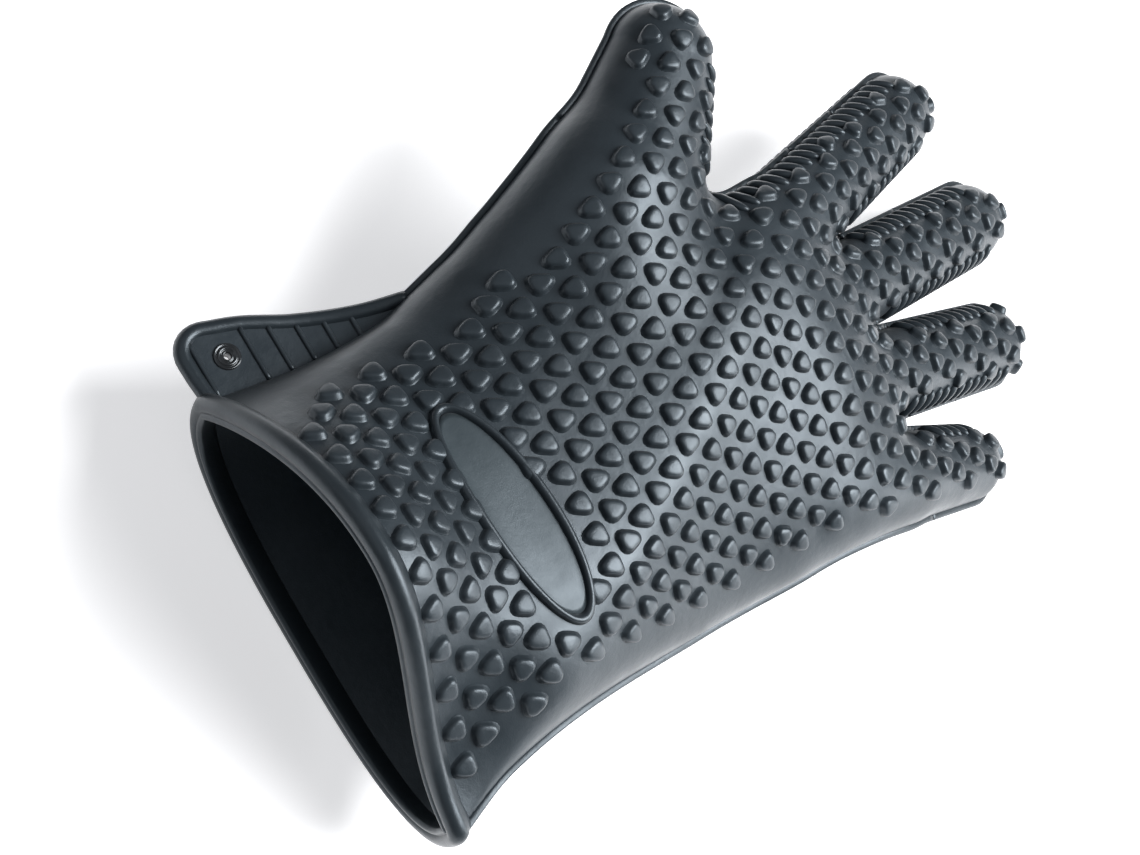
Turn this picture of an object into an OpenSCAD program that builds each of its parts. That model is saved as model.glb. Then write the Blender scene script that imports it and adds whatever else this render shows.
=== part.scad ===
// Silicone oven glove with five fingers, for the right hand, resting palm down on its cuff and fingertips.
// The seam sheet is the surface on which the two halves of the moulding meet. A place on it is
// given by x, from the cuff edge towards the fingertips, and y, across the hand towards the thumb.
// h stands off the sheet: above it is the back of the hand, below it is the palm.

/* [Hand] */
// Thickness of the moulded wall
wall = 2.4; // [2:0.1:2.8]
// Height of the back over the sheet at the cuff edge
cuff_back_h = 35; // [32:1:38]
// Depth of the palm under the sheet at the cuff edge
cuff_palm_h = 32; // [29:1:35]
// Height of the back at the cuff edge where the mouth stands open
cuff_open_h = 45; // [38:1:46]
// Radius of the round bead on the cuff edge
bead_r = 2.9; // [2.4:0.1:3.2]
// Width of the parting fin that stands out round the outline
fin_w = 1.7; // [1:0.1:2.4]
// Thickness of the parting fin
fin_t = 1.5; // [1:0.1:2]

/* [Fingers] */
// Radius of the index finger at its root
index_r = 13.6; // [13:0.1:13.6]
// Radius of the middle finger at its root
middle_r = 13; // [12.4:0.1:13]
// Radius of the ring finger at its root
ring_r = 13; // [12.4:0.1:13]
// Radius of the little finger at its root
little_r = 13; // [12.4:0.1:13]
// Radius of the thumb at its root
thumb_r = 21.2; // [20:0.1:21.2]
// Length of the index finger from the knuckle line to the centre of its round tip
index_len = 61.5; // [60:0.5:66]
// Length of the middle finger, measured the same way
middle_len = 75.5; // [74:0.5:80]
// Length of the ring finger, measured the same way
ring_len = 60.4; // [60:0.2:65]
// Length of the little finger, measured the same way
little_len = 26; // [25:0.5:30]

/* [Pose] */
// Upward slope of the palm
pitch = 2.5; // [2:0.5:6]
// Turn of the palm about its length, which lowers the little finger
roll_end = 16; // [8:1:20]
// Droop of the fingers against the palm
droop = 20; // [12:1:24]

/* [Badge and tab] */
// Half the length of the oval badge, across the hand
badge_long = 32; // [28:1:36]
// Half the width of the oval badge
badge_short = 10; // [9:0.5:14]
// Radius of the hole through the hanging eyelet
eyelet_r = 1; // [0.8:0.1:1.4]
// Thickness of the hanging tab
tab_t = 2.2; // [1.8:0.1:2.6]

/* [Hidden] */
$fn = 64;

// Outline of the hand on the sheet: [x, y] on the thumb side and on the little-finger side
thumb_side = [[0, 69], [28, 66], [52, 66.5], [75, 70], [95, 76.7]];
little_side = [[0, -60], [22, -52.5], [54, -48.5], [95, -48.5]];
// Height of the back and depth of the palm along x
back_h = [[0, cuff_back_h], [48, 27], [95, 24]];
palm_h = [[0, cuff_palm_h], [48, 26], [95, 23]];
// Roundness of the two halves' cross-sections: 2 is an ellipse, more is flatter
back_p = 2.2;
palm_p = 2.6;
// The open mouth: where the back is highest, how full it is to the thumb and to the little finger,
// how much of it shows at the edge, how far in it reaches, and how the edge leans back with height
peak_y = 7.5;
thumb_fall = 1;
little_fall = 2.6;
open_share = 0.85;
open_reach = 45;
rim_lean = 0.1;
// Where the shells start, inside the cuff bead
shell_x = 1.5;
// Where the outline leaves one arch for two, the hand's and the thumb's
fork_x = 95;
// Knuckle line, and the line across the hand through the crotch of the thumb
knuckle_x = 186;
crotch_x = 149.5;
crotch_y = 58.8;
crotch_low_y = -52;
crotch_h = 21;
// Half height of the web left between two fingers
web_h = 2.5;
// The palm turns over this stretch, and the fingers droop over this one
turn_from = 30;
turn_to = 120;
bend_from = 150;
bend_to = 184;

// Fingers: y at the knuckle line, spread angle, root radius, tip radius, length
INDEX = [44, 9.2, index_r, 12.8, index_len];
MIDDLE = [16.6, -2.7, middle_r, 12.4, middle_len];
RING = [-10.8, -11.4, ring_r, 12, ring_len];
LITTLE = [-42.3, -16.5, little_r, 11.2, little_len];
THUMB = [0, 46, thumb_r, 15.4, 33];
FINGERS = [INDEX, MIDDLE, RING, LITTLE];
// Centre of the thumb's root, on the sheet
thumb_x = 134.8;
thumb_y = 74.1;
// Hinges: distance from the finger's root, largest bend, largest bend backwards
INDEX_KNUCKLE = [21, 45, 10];
INDEX_JOINT = [48, 50, 0];
MIDDLE_KNUCKLE = [26, 45, 10];
MIDDLE_JOINT = [58, 50, 0];
RING_KNUCKLE = [24, 45, 10];
RING_JOINT = [48.5, 50, 0];
LITTLE_KNUCKLE = [13.5, 45, 10];
THUMB_KNUCKLE = [17, 30, 8];
// Room left at a hinge beyond its largest bend, and between a sleeve and the part before it
hinge_gap = 0.6;
sleeve_gap = 0.05;

// Eyelet and badge on the sheet
eyelet_x = 12.5;
eyelet_y = 77;
eyelet_wall = 1;
flange_r = 4.2;
flange_h = 0.9;
groove_r = 2.8;
groove_w = 0.9;
groove_h = 0.5;
flange_round = 0.6;
badge_x = 48.5;
badge_y = 3.3;
badge_tilt = 5.4;
badge_rim_r = 1.5;
badge_rim_rise = 0.3;
badge_plate_t = 0.5;
badge_plate_sink = 0.6;
// Outer edge of the hanging tab beyond its round corner
tab_edge = [[9, 87], [20, 84], [33, 78.4], [50, 72.4], [62, 69.5]];
tab_corner_x = 8.5;
tab_corner_y = 80.6;
tab_corner_r = 6.4;
tab_split_x = 30;
tab_end_x = 62;
tab_bead_r = 2.1;
// Where the tab meets the cuff edge, where its corner ends, and where its bead starts
tab_foot = [2.2, 69.6];
tab_shoulder = [9.8, 86.8];
TAB_BEAD_FROM = [[3.2, 71.5, 0], [2.5, 76, 0]];
rib_w = 1.3;
rib_h = 0.8;
RIBS = [5, 19.5, 26.5, 33.5, 40.5, 47.5];

// Steps along and across the lofted shells
hand_steps = 10;
fork_steps = 8;
knuckle_steps = 7;
thumb_n = 16;
hand_n = 28;
finger_n = 12;
bead_n = 48;
big = 400;

// The middle of the finished box, and the height of the sheet over the resting surface
mid_x = 133.96;
mid_y = 24.5;
lift = 33.7;

function ease(t) = let (u = min(1, max(0, t))) u * u * (3 - 2 * u);
function mix(a, b, t) = a + (b - a) * t;
function tangent(t, i) =
    let (a = max(0, i - 1), b = min(len(t) - 1, i + 1)) (t[b][1] - t[a][1]) / (t[b][0] - t[a][0]);
function piece(x, t, i) =
    let (d = t[i + 1][0] - t[i][0], u = (x - t[i][0]) / d)
    t[i][1] * (1 + 2 * u) * (1 - u) * (1 - u) + t[i + 1][1] * u * u * (3 - 2 * u)
    + d * u * (1 - u) * ((1 - u) * tangent(t, i) - u * tangent(t, i + 1));
// A smooth curve through a table of [x, value]
function curve(x, t, i = 0) = i >= len(t) - 2 || x < t[i + 1][0] ? piece(x, t, i) : curve(x, t, i + 1);

// The droop: the sheet bends on an arc between bend_from and bend_to
bend_r = (bend_to - bend_from) / (droop * PI / 180);
function bent(x, y, h) =
    let (a = droop * min(1, max(0, (x - bend_from) / (bend_to - bend_from))), past = max(0, x - bend_to))
    x <= bend_from ? [x, y, h]
    : [bend_from + bend_r * sin(a) + past * cos(a) + h * sin(a), y,
       -bend_r * (1 - cos(a)) - past * sin(a) + h * cos(a)];
// How open the mouth is at x
function opened(x) = 1 - ease(x / open_reach);
function roll(x) = roll_end * ease((x - turn_from) / (turn_to - turn_from));
function rolled(p, a) = [p[0], p[1] * cos(a) - p[2] * sin(a), p[1] * sin(a) + p[2] * cos(a)];
function placed(p) =
    [p[0] * cos(pitch) - p[2] * sin(pitch) - mid_x, p[1] - mid_y,
     p[0] * sin(pitch) + p[2] * cos(pitch) + lift];
// A place in the seam frame, moved to the finished glove
function at(q) =
    let (x = q[0] + rim_lean * opened(q[0]) * max(0, q[2])) placed(rolled(bent(x, q[1], q[2]), roll(q[0])));

module cuff_frame() translate([-mid_x, -mid_y, lift]) rotate([0, -pitch, 0]) children();
module sheet_frame(x) cuff_frame() rotate([roll(x), 0, 0]) children();
module knuckle_frame() sheet_frame(knuckle_x) translate(bent(knuckle_x, 0, 0)) rotate([0, droop, 0]) children();
module finger_frame(f) knuckle_frame() translate([0, f[0], 0]) rotate([0, 0, f[1]]) children();
module thumb_frame() sheet_frame(crotch_x) translate([thumb_x, thumb_y, 0]) rotate([0, 0, THUMB[1]]) children();

// One arch of a cross-section at x, from the thumb side to the little-finger side
function arch(x, hi, lo, height, p, n) =
    [for (i = [0:n]) let (c = cos(180 * i / n), s = sin(180 * i / n))
        [x, (hi + lo) / 2 + (hi - lo) / 2 * sign(c) * pow(abs(c), 2 / p), height * pow(max(0, s), 2 / p)]];
// Height of the back at x and y once the mouth stands open, from its height h in a plain arch
function open_height(x, y, h, hi, lo, w) =
    let (thumb = y > peak_y, v = thumb ? (y - peak_y) / (hi - peak_y) : (peak_y - y) / (peak_y - lo),
         tent = (cuff_open_h - w) * pow(max(0, 1 - v * v), thumb ? thumb_fall : little_fall))
    mix(h, tent, open_share * opened(x));
// Cross-section of the undivided hand at x, shrunk by w; only the back stands open
function hand_ring(x, heights, p, w) =
    let (hi = curve(x, thumb_side) - w, lo = curve(x, little_side) + w,
         ring = arch(x, hi, lo, curve(x, heights) - w, p, thumb_n + hand_n))
    heights == palm_h ? ring : [for (q = ring) [q[0], q[1], open_height(x, q[1], q[2], hi, lo, w)]];
// Cross-section through the crotch of the thumb: the thumb's half circle, then the hand's arch
function fork_ring(p, w) =
    let (r = thumb_r - w, a = THUMB[1], low = w > 0 ? 0 : web_h)
    concat(
        [for (i = [0:thumb_n - 1]) let (t = 180 * i / thumb_n)
            [thumb_x - r * cos(t) * sin(a), thumb_y + r * cos(t) * cos(a), max(r * sin(t), t > 90 ? low : 0)]],
        [[crotch_x, crotch_y, low]],
        tail(crotch_ring(p, w, hand_n)));
function crotch_ring(p, w, n) =
    let (low = w > 0 ? 0 : web_h, q = arch(crotch_x, crotch_y - w, crotch_low_y + w, crotch_h - w, p, n))
    [for (i = [0:n])
        i == 0 ? [crotch_x, crotch_y, low]
        : i < n / 2 ? [q[i][0], q[i][1], max(low, q[i][2])] : q[i]];
function tail(v) = [for (i = [1:len(v) - 1]) v[i]];
// Same section, opened to the full width for the knuckle shells
function crotch_open(p, w, n) = arch(crotch_x, crotch_y - w, crotch_low_y + w, crotch_h - w, p, n);
// Half width of a spread finger along y
function half_w(f, w) = (f[2] - w) / cos(f[1]);
// Line between finger k and finger k + 1 on the knuckle line
function between(k) =
    (FINGERS[k][0] - half_w(FINGERS[k], 0) + FINGERS[k + 1][0] + half_w(FINGERS[k + 1], 0)) / 2;
// Cross-section on the knuckle line: four half circles joined by webs
function knuckle_ring(w) =
    let (low = w > 0 ? 0 : web_h)
    concat(
        [[knuckle_x, INDEX[0] + half_w(INDEX, w), 0]],
        [for (k = [0:3]) for (i = [1:finger_n]) let (f = FINGERS[k], t = 180 * i / finger_n)
            i == finger_n && k < 3 ? [knuckle_x, between(k), low]
            : [knuckle_x, f[0] + half_w(f, w) * cos(t), i == finger_n ? 0 : max(low, (f[2] - w) * sin(t))]]);
function blend_ring(a, b, t) =
    [for (i = [0:len(a) - 1]) let (p = a[i], q = b[i])
        [mix(p[0], q[0], t), mix(p[1], q[1], t), mix(p[2], q[2], ease(t))]];

function hand_rings(heights, p, w) = concat(
    [for (k = [0:hand_steps]) hand_ring(mix(shell_x, fork_x, k / hand_steps), heights, p, w)],
    [for (k = [1:fork_steps])
        blend_ring(hand_ring(fork_x, heights, p, w), fork_ring(p, w), k / fork_steps)]);
function knuckle_rings(p, w) =
    [for (k = [0:knuckle_steps])
        blend_ring(crotch_open(p, w, 4 * finger_n), knuckle_ring(w), k / knuckle_steps)];

function quad(a, b, c, d, flip) = flip ? [[a, c, b], [a, d, c]] : [[a, b, c], [a, c, d]];
// Closed shell between outer and inner rings of the same length; side is 1 above the sheet, -1 below
module shell(outer, inner, side) {
    n = len(outer[0]);
    m = len(outer);
    function to_side(q) = at([q[0], q[1], side * q[2]]);
    points = [for (k = [0:m - 1])
        each concat([for (q = outer[k]) to_side(q)], [for (q = inner[k]) to_side(q)])];
    flip = side > 0;
    faces = [
        for (k = [0:m - 2]) let (a = 2 * n * k, b = a + 2 * n) each concat(
            [for (i = [0:n - 2]) each quad(a + i, a + i + 1, b + i + 1, b + i, flip)],
            [for (i = [0:n - 2]) each quad(a + n + i, b + n + i, b + n + i + 1, a + n + i + 1, flip)],
            quad(a, b, b + n, a + n, flip),
            quad(a + n - 1, a + 2 * n - 1, b + 2 * n - 1, b + n - 1, flip)),
        for (i = [0:n - 2]) let (e = 2 * n * (m - 1)) each concat(
            quad(i, i + n, i + n + 1, i + 1, flip),
            quad(e + i, e + i + 1, e + i + n + 1, e + i + n, flip))];
    polyhedron(points, faces);
}
// Solid swept through rings of points; a closed sweep joins its last ring to its first
module sweep(rings, closed = false) {
    n = len(rings[0]);
    m = len(rings);
    steps = closed ? m : m - 1;
    faces = concat(
        [for (k = [0:steps - 1]) for (i = [0:n - 1])
            let (a = n * k, b = n * ((k + 1) % m), j = (i + 1) % n)
            each quad(a + i, b + i, b + j, a + j, false)],
        closed ? [] : [[for (i = [0:n - 1]) i], [for (i = [n - 1:-1:0]) n * (m - 1) + i]]);
    polyhedron([for (r = rings) each r], faces);
}

// Outer surface of the back, for what stands on it
function back_surface(x, y) =
    let (hi = curve(x, thumb_side), lo = curve(x, little_side),
         v = min(1, abs(y - (hi + lo) / 2) / ((hi - lo) / 2)))
    open_height(x, y, curve(x, back_h) * pow(1 - pow(v, back_p), 1 / back_p), hi, lo, 0);

// Unit direction out of a path on the sheet, to its left
function left_of(path, i, closed = false) =
    let (m = len(path), a = closed ? (i + m - 1) % m : max(0, i - 1),
         b = closed ? (i + 1) % m : min(m - 1, i + 1),
         d = [path[b][0] - path[a][0], path[b][1] - path[a][1]])
    [-d[1], d[0]] / norm(d);
// A fin along a path on the sheet, standing out to the left of it
module fin(path)
    sweep([for (i = [0:len(path) - 1]) let (q = path[i], o = left_of(path, i) * fin_w)
        [for (c = [[0, -1], [1, -1], [1, 1], [0, 1]])
            at([q[0] + o[0] * c[0], q[1] + o[1] * c[0], c[1] * fin_t / 2])]]);
// A round bead along a path on the sheet, raised by h
module bead(path, r, sides, closed = false)
    sweep([for (i = [0:len(path) - 1]) let (q = path[i], o = left_of(path, i, closed))
        [for (j = [0:sides - 1]) let (c = r * cos(360 * j / sides), s = r * sin(360 * j / sides))
            at([q[0] + o[0] * c, q[1] + o[1] * c, q[2] + s])]], closed);

// Tapered finger tube with a round tip, grown by g outwards
module finger_body(f, g) {
    rotate([0, 90, 0]) translate([0, 0, -8])
        cylinder(r1 = f[2] + g + (f[2] - f[3]) * 8 / f[4], r2 = f[3] + g, h = f[4] + 8);
    translate([f[4], 0, 0]) sphere(r = f[3] + g);
}
module finger_fin(f)
    translate([0, 0, -fin_t / 2]) linear_extrude(fin_t) {
        polygon([[0, -f[2] - fin_w], [f[4], -f[3] - fin_w], [f[4], f[3] + fin_w], [0, f[2] + fin_w]]);
        translate([f[4], 0]) circle(r = f[3] + fin_w);
    }
module finger_wall(f) difference() {
    union() {
        finger_body(f, 0);
        finger_fin(f);
    }
    finger_body(f, -wall);
}
// Radius of a finger at s, and half the gap of a hinge on the palm side and on the back
function radius_at(f, s) = mix(f[2], f[3], s / f[4]);
function palm_gap(f, j) = radius_at(f, j[0]) * tan(j[1] / 2) + hinge_gap;
function back_gap(f, j) = radius_at(f, j[0]) * tan(j[2] / 2) + hinge_gap;
// Everything beyond (dir 1) or short of (dir -1) the hinge's wedge, grown by g towards the wedge
module beside_hinge(f, j, dir, g = 0) {
    r = radius_at(f, j[0]);
    pg = palm_gap(f, j);
    bg = back_gap(f, j);
    translate([j[0] + dir * ((pg + bg) / 2 - g), 0, 0])
        rotate([0, dir * atan((bg - pg) / (2 * r)), 0])
            translate([dir > 0 ? 0 : -big, -big / 2, -big / 2]) cube(big);
}
module finger_part(f, from, to) intersection() {
    finger_wall(f);
    if (from) beside_hinge(f, from, 1);
    if (to) beside_hinge(f, to, -1);
}
// What lies beyond the root line of a finger that starts at an angle a to it
module past_root(a) rotate([0, 0, -a]) translate([0, -big / 2, -big / 2]) cube(big);
module root_part(f, a, to) intersection() {
    finger_wall(f);
    past_root(a);
    beside_hinge(f, to, -1);
}
module sleeve_part(f, j) difference() {
    intersection() {
        finger_wall(f);
        translate([j[0] - f[2], -big / 2, -big / 2]) cube([2 * f[2], big, big]);
    }
    beside_hinge(f, j, -1, sleeve_gap);
    beside_hinge(f, j, 1);
}

slate = [0.2, 0.22, 0.24];
slate_light = [0.25, 0.27, 0.29];
slate_dark = [0.13, 0.14, 0.15];

module back_shell() color(slate)
    shell(hand_rings(back_h, back_p, 0), hand_rings(back_h, back_p, wall), 1);
module palm_shell() color(slate)
    shell(hand_rings(palm_h, palm_p, 0), hand_rings(palm_h, palm_p, wall), -1);
module knuckle_back() color(slate)
    shell(knuckle_rings(back_p, 0), knuckle_rings(back_p, wall), 1);
module knuckle_palm() color(slate)
    shell(knuckle_rings(palm_p, 0), knuckle_rings(palm_p, wall), -1);

module thumb_root() color(slate) thumb_frame() root_part(THUMB, 0, THUMB_KNUCKLE);
module index_root() color(slate) finger_frame(INDEX) root_part(INDEX, INDEX[1], INDEX_KNUCKLE);
module middle_root() color(slate) finger_frame(MIDDLE) root_part(MIDDLE, MIDDLE[1], MIDDLE_KNUCKLE);
module ring_root() color(slate) finger_frame(RING) root_part(RING, RING[1], RING_KNUCKLE);
module little_root() color(slate) finger_frame(LITTLE) root_part(LITTLE, LITTLE[1], LITTLE_KNUCKLE);

// The middle of the wall round the mouth, back first and then the palm
function mouth_half(heights, p, side) =
    [for (i = [0:bead_n / 2 - 1]) let (t = 360 * i / bead_n, c = cos(t), s = sin(t),
        hi = thumb_side[0][1] - wall / 2, lo = little_side[0][1] + wall / 2,
        y = (hi + lo) / 2 + side * (hi - lo) / 2 * sign(c) * pow(abs(c), 2 / p),
        h = (heights[0][1] - wall / 2) * pow(s, 2 / p))
        [y, side > 0 ? open_height(0, y, h, hi, lo, wall / 2) : -h]];
module cuff_bead() {
    rim = concat(mouth_half(back_h, back_p, 1), mouth_half(palm_h, palm_p, -1));
    color(slate_light) sweep([for (i = [0:bead_n - 1]) let (q = rim[i], o = left_of(rim, i, true))
        [for (j = [0:9]) let (c = bead_r * cos(36 * j), s = bead_r * sin(36 * j))
            at([s, q[0] + o[0] * c, q[1] + o[1] * c])]], true);
}

// Fins lie just outside the outline
module fin_thumb_side() color(slate_dark)
    fin(concat([for (x = [tab_end_x:8:fork_x]) [x, curve(x, thumb_side)]],
        [[fork_x, curve(fork_x, thumb_side)],
         [thumb_x - thumb_r * sin(THUMB[1]), thumb_y + thumb_r * cos(THUMB[1])]]));
module fin_index_side() color(slate_dark)
    fin([for (k = [0:knuckle_steps]) let (t = k / knuckle_steps)
        [mix(crotch_x, knuckle_x, t), mix(crotch_y, INDEX[0] + half_w(INDEX, 0), t)]]);
module fin_little_side() color(slate_dark)
    fin(concat(
        [for (k = [knuckle_steps:-1:1]) let (t = k / knuckle_steps)
            [mix(crotch_x, knuckle_x, t), mix(crotch_low_y, LITTLE[0] - half_w(LITTLE, 0), t)]],
        [[crotch_x, crotch_low_y]],
        [for (k = [hand_steps:-1:0]) let (x = mix(shell_x + 2, fork_x, k / hand_steps))
            [x, curve(x, little_side)]]));

// Tab: a flat corner with the eyelet, then a web that follows the turning sheet
module tab_corner() color(slate) cuff_frame() difference() {
    translate([0, 0, -tab_t / 2]) linear_extrude(tab_t) {
        translate([tab_corner_x, tab_corner_y]) circle(r = tab_corner_r);
        polygon(concat(
            [for (x = [tab_split_x:-5:5]) [x, curve(x, thumb_side)]],
            [tab_foot, [tab_corner_x - tab_corner_r, tab_corner_y], [tab_corner_x, tab_corner_y], tab_shoulder],
            [for (x = [12:6:tab_split_x]) [x, curve(x, tab_edge)]]));
    }
    translate([eyelet_x, eyelet_y, -tab_t]) cylinder(r = eyelet_r + eyelet_wall + sleeve_gap, h = 2 * tab_t);
}
module tab_web() color(slate)
    sweep([for (x = [tab_split_x:4:tab_end_x])
        let (a = curve(x, thumb_side), b = max(a + 0.3, curve(x, tab_edge)))
        [for (q = [[a, -1], [b, -1], [b, 1], [a, 1]]) at([x, q[0], q[1] * tab_t / 2])]]);
module tab_bead() color(slate_light)
    bead(concat(
        TAB_BEAD_FROM,
        [for (a = [180:-20:80])
            [tab_corner_x + tab_corner_r * cos(a), tab_corner_y + tab_corner_r * sin(a), 0]],
        [for (x = [13:7:tab_end_x]) [x, curve(x, tab_edge), 0]]), tab_bead_r, 8);
module tab_ribs() color(slate_light)
    for (x = RIBS) let (y0 = curve(x, thumb_side) + 1.5, y1 = x < 9 ? 82 : curve(x, tab_edge) - tab_bead_r)
        sheet_frame(x) translate([x - rib_w / 2, y0, tab_t / 2]) cube([rib_w, y1 - y0, rib_h]);
module hang_eyelet() color([0.05, 0.05, 0.05])
    cuff_frame() translate([eyelet_x, eyelet_y, 0]) rotate_extrude()
        polygon([
            [eyelet_r, tab_t / 2 + flange_h], [groove_r - groove_w / 2, tab_t / 2 + flange_h],
            [groove_r, tab_t / 2 + groove_h], [groove_r + groove_w / 2, tab_t / 2 + flange_h],
            [flange_r - flange_h + flange_round, tab_t / 2 + flange_round], [flange_r, tab_t / 2],
            [eyelet_r + eyelet_wall, tab_t / 2], [eyelet_r + eyelet_wall, -tab_t / 2], [flange_r, -tab_t / 2],
            [flange_r - flange_h + flange_round, -tab_t / 2 - flange_round], [eyelet_r, -tab_t / 2 - flange_h]
        ]);

// A place on the badge's oval, at a share of its size and an angle round it
function badge_at(share, a) =
    let (u = share * badge_short * cos(a), v = share * badge_long * sin(a))
    [badge_x + u * cos(badge_tilt) - v * sin(badge_tilt), badge_y + u * sin(badge_tilt) + v * cos(badge_tilt)];
module badge_rim() color(slate_light)
    bead([for (k = [0:39]) let (q = badge_at(1, -9 * k))
        [q[0], q[1], back_surface(q[0], q[1]) + badge_rim_rise]],
        badge_rim_r, 8, true);
module badge_plate() {
    ring_n = 32;
    shares = [0.02, 0.3, 0.6, 0.86];
    top = [for (s = shares) [for (k = [0:ring_n - 1]) badge_at(s, -360 * k / ring_n)]];
    function on(q, g) = at([q[0], q[1], back_surface(q[0], q[1]) + g]);
    rings = concat(
        [for (r = top) [for (q = r) on(q, badge_plate_t)]],
        [for (k = [len(top) - 1:-1:0]) [for (q = top[k]) on(q, -badge_plate_sink)]]);
    color(slate_light) sweep(rings, true);
}

module thumb_sleeve() color(slate) thumb_frame() sleeve_part(THUMB, THUMB_KNUCKLE);
module thumb_tip() color(slate) thumb_frame() finger_part(THUMB, THUMB_KNUCKLE, undef);
module index_sleeve() color(slate) finger_frame(INDEX) sleeve_part(INDEX, INDEX_KNUCKLE);
module index_middle() color(slate) finger_frame(INDEX) finger_part(INDEX, INDEX_KNUCKLE, INDEX_JOINT);
module index_tip_sleeve() color(slate) finger_frame(INDEX) sleeve_part(INDEX, INDEX_JOINT);
module index_tip() color(slate) finger_frame(INDEX) finger_part(INDEX, INDEX_JOINT, undef);
module middle_sleeve() color(slate) finger_frame(MIDDLE) sleeve_part(MIDDLE, MIDDLE_KNUCKLE);
module middle_middle() color(slate) finger_frame(MIDDLE) finger_part(MIDDLE, MIDDLE_KNUCKLE, MIDDLE_JOINT);
module middle_tip_sleeve() color(slate) finger_frame(MIDDLE) sleeve_part(MIDDLE, MIDDLE_JOINT);
module middle_tip() color(slate) finger_frame(MIDDLE) finger_part(MIDDLE, MIDDLE_JOINT, undef);
module ring_sleeve() color(slate) finger_frame(RING) sleeve_part(RING, RING_KNUCKLE);
module ring_middle() color(slate) finger_frame(RING) finger_part(RING, RING_KNUCKLE, RING_JOINT);
module ring_tip_sleeve() color(slate) finger_frame(RING) sleeve_part(RING, RING_JOINT);
module ring_tip() color(slate) finger_frame(RING) finger_part(RING, RING_JOINT, undef);
module little_sleeve() color(slate) finger_frame(LITTLE) sleeve_part(LITTLE, LITTLE_KNUCKLE);
module little_tip() color(slate) finger_frame(LITTLE) finger_part(LITTLE, LITTLE_KNUCKLE, undef);

back_shell();
palm_shell();
knuckle_back();
knuckle_palm();
thumb_root();
index_root();
middle_root();
ring_root();
little_root();
cuff_bead();
fin_thumb_side();
fin_index_side();
fin_little_side();
tab_corner();
tab_web();
tab_bead();
tab_ribs();
hang_eyelet();
badge_rim();
badge_plate();
thumb_sleeve();
thumb_tip();
index_sleeve();
index_middle();
index_tip_sleeve();
index_tip();
middle_sleeve();
middle_middle();
middle_tip_sleeve();
middle_tip();
ring_sleeve();
ring_middle();
ring_tip_sleeve();
ring_tip();
little_sleeve();
little_tip();
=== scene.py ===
"""The looks of the silicone oven glove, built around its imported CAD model.

The glove is shaped in its flat moulding frame, in millimetres: x from the cuff edge to the fingertips,
y across the hand towards the thumb, h off the seam plane, + to the back. place() then turns the palm,
lets the fingers droop and puts everything into the row frame, in metres.
"""

import math

import bmesh
import bpy
import numpy as np
from mathutils import Matrix, Vector


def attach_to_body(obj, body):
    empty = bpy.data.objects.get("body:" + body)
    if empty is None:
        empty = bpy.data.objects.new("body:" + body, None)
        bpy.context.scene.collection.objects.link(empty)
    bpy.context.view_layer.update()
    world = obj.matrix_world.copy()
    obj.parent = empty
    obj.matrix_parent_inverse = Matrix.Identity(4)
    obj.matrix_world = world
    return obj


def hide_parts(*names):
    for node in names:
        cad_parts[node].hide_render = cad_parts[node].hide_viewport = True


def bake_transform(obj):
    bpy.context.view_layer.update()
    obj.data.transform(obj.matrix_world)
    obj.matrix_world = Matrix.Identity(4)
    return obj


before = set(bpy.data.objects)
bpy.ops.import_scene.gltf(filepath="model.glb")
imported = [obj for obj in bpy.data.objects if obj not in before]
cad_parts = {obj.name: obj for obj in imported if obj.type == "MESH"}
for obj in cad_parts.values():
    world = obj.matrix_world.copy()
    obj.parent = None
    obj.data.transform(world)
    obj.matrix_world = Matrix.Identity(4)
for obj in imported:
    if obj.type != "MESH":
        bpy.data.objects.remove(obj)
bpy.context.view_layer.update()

# ---------------------------------------------------------------- driving dimensions, mm and degrees

WALL = 2.4
PITCH, ROLL, DROOP = 2.5, 16.0, 20.0
TURN_FROM, TURN_TO = 30.0, 120.0
BEND_FROM, BEND_TO = 150.0, 184.0
MIDDLE_OF_BOX = np.array([133.96, 24.5, -33.7])
KNUCKLE_X = 186.0
CUFF_X = 1.0
# The open mouth: height and place of its peak, how it falls to the thumb and to the little finger,
# how much of it shows at the edge, how far in it reaches, and how the edge leans back with height
OPEN_H, PEAK_Y, THUMB_FALL, LITTLE_FALL = 45.0, 7.5, 1.0, 2.6
OPEN_SHARE, OPEN_REACH, RIM_LEAN = 0.85, 45.0, 0.1

# The palm and cuff as [x, value] tables: its two sides, and its heights on the back and on the palm
THUMB_SIDE = [
    [0, 69], [28, 66], [52, 66.8], [75, 71.5], [95, 75], [112, 72], [130, 64], [150, 56.5], [190, 54],
]
LITTLE_SIDE = [
    [0, -60], [22, -52], [54, -47.8], [95, -48.2], [130, -49.6], [150, -49.5], [168, -50.6], [190, -55.5],
]
BACK_H = [[0, 35], [48, 27], [95, 24], [149.5, 21], [168, 17], [180, 11], [192, 4]]
PALM_H = [[0, 32], [48, 26], [95, 23], [149.5, 20.5], [168, 17], [180, 11], [192, 4]]
# Powers of the section's two halves: 2 is an ellipse, more is squarer
BACK_ROUND, PALM_ROUND = 2.2, 2.6
# The back's low diagonal ridge, from the little finger's side of the cuff to the index knuckle:
# where it crosses y = 0, how it runs, how high it is, how far it spreads and how round its crest is
RIDGE_X, RIDGE_SLOPE, RIDGE_H, RIDGE_SPREAD, RIDGE_CREST = 98.0, 1.3, 3.4, 55.0, 6.0
# Where the web between the fingers ends, across the hand
WEB_END = [[-60, 178], [-44, 178], [-26.4, 177], [-12, 184], [3, 188], [30, 185], [57, 172]]

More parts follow.
